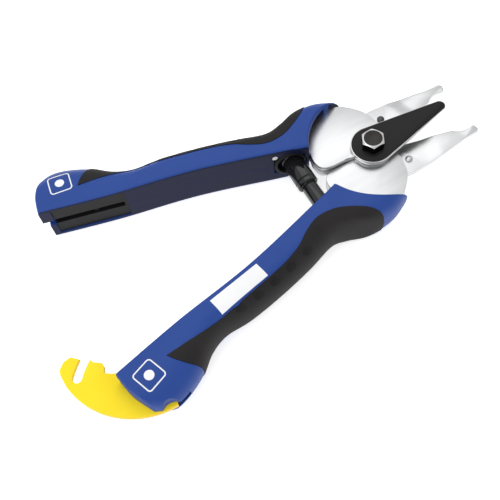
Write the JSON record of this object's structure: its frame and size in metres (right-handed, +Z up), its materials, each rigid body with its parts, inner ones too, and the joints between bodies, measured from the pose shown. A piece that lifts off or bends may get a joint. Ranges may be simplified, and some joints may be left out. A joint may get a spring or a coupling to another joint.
{
  "type": "ring pliers",
  "caption": "Spring-opened hand pliers that close staple rings round wire, with two grooved jaws, soft-grip handles and a swing-out lock latch.",
  "frame": {"origin": "the pivot axis, at the level of the surface the pliers lie on", "axes": "+X out between the jaws along the centre line of the open handles, +Y towards the upper handle, +Z up along the pivot axis"},
  "size_m": [0.2243, 0.1312, 0.024],
  "materials": {
    "blue_plastic": "satin",
    "soft_grip": "fine texture",
    "polished_steel": "polished",
    "black_plastic": "matt",
    "nut_plating": "dark mirror",
    "black_plate": "gloss",
    "strut_black": "gloss",
    "yellow_plastic": "satin",
    "pin_steel": "turned"
  },
  "bodies": {
    "lower_handle": {"lower_handle_top_shell": "blue_plastic", "lower_handle_bottom_shell": "blue_plastic", "lower_handle_grip": "soft_grip", "upper_jaw_lever": "polished_steel", "lower_handle_cheek": "polished_steel", "lower_handle_spacer": "black_plastic", "lower_tang_rivets": "pin_steel", "lower_shell_screws": "pin_steel", "lower_spring_seat": "black_plastic", "lower_seat_screws": "pin_steel", "pivot_bolt": "nut_plating", "pivot_washer": "pin_steel", "pivot_nut": "nut_plating", "upper_jaw_pin": "pin_steel", "latch_pin": "pin_steel", "guide_plate": "black_plate"},
    "upper_handle": {"upper_handle_top_shell": "blue_plastic", "upper_handle_bottom_shell": "blue_plastic", "upper_handle_grip": "soft_grip", "lower_jaw_lever": "polished_steel", "upper_handle_cheek": "polished_steel", "upper_handle_spacer": "black_plastic", "upper_tang_rivets": "pin_steel", "upper_shell_screws": "pin_steel", "upper_spring_seat": "black_plastic", "upper_seat_screws": "pin_steel", "lower_jaw_pin": "pin_steel", "keeper_insert": "black_plastic", "keeper_pin": "pin_steel"},
    "spring_rod": {"spring_rod": "strut_black"},
    "spring_sleeve": {"spring_sleeve": "strut_black", "sleeve_collar": "pin_steel", "return_spring": "pin_steel"},
    "latch": {"latch": "yellow_plastic"}
  },
  "joints": [
    {"name": "handle_pivot", "type": "hinge", "parent": "lower_handle", "child": "upper_handle", "pos_m": [0, 0, 0.012], "axis": [0, 0, 1], "range_deg": [0, 27.5], "stiffness_Nm_per_rad": 0.4, "springref_deg": -17.19},
    {"name": "rod_pivot", "type": "hinge", "parent": "lower_handle", "child": "spring_rod", "pos_m": [-0.03503, -0.02093, 0.012], "axis": [0, 0, 1], "range_deg": [0, 13.75]},
    {"name": "sleeve_slide", "type": "slide", "parent": "spring_rod", "child": "spring_sleeve", "axis": [0, 1, 0], "range_m": [-0.01785, 0]},
    {"name": "latch_pivot", "type": "hinge", "parent": "lower_handle", "child": "latch", "pos_m": [-0.14119, -0.05411, 0.012], "axis": [0, 0, 1], "range_deg": [-45, 0]}
  ],
  "couplings": [
    {"joint": "rod_pivot", "follows": "handle_pivot", "ratio": 0.5},
    {"joint": "sleeve_slide", "follows": "handle_pivot", "m_per_rad": -0.037193}
  ]
}
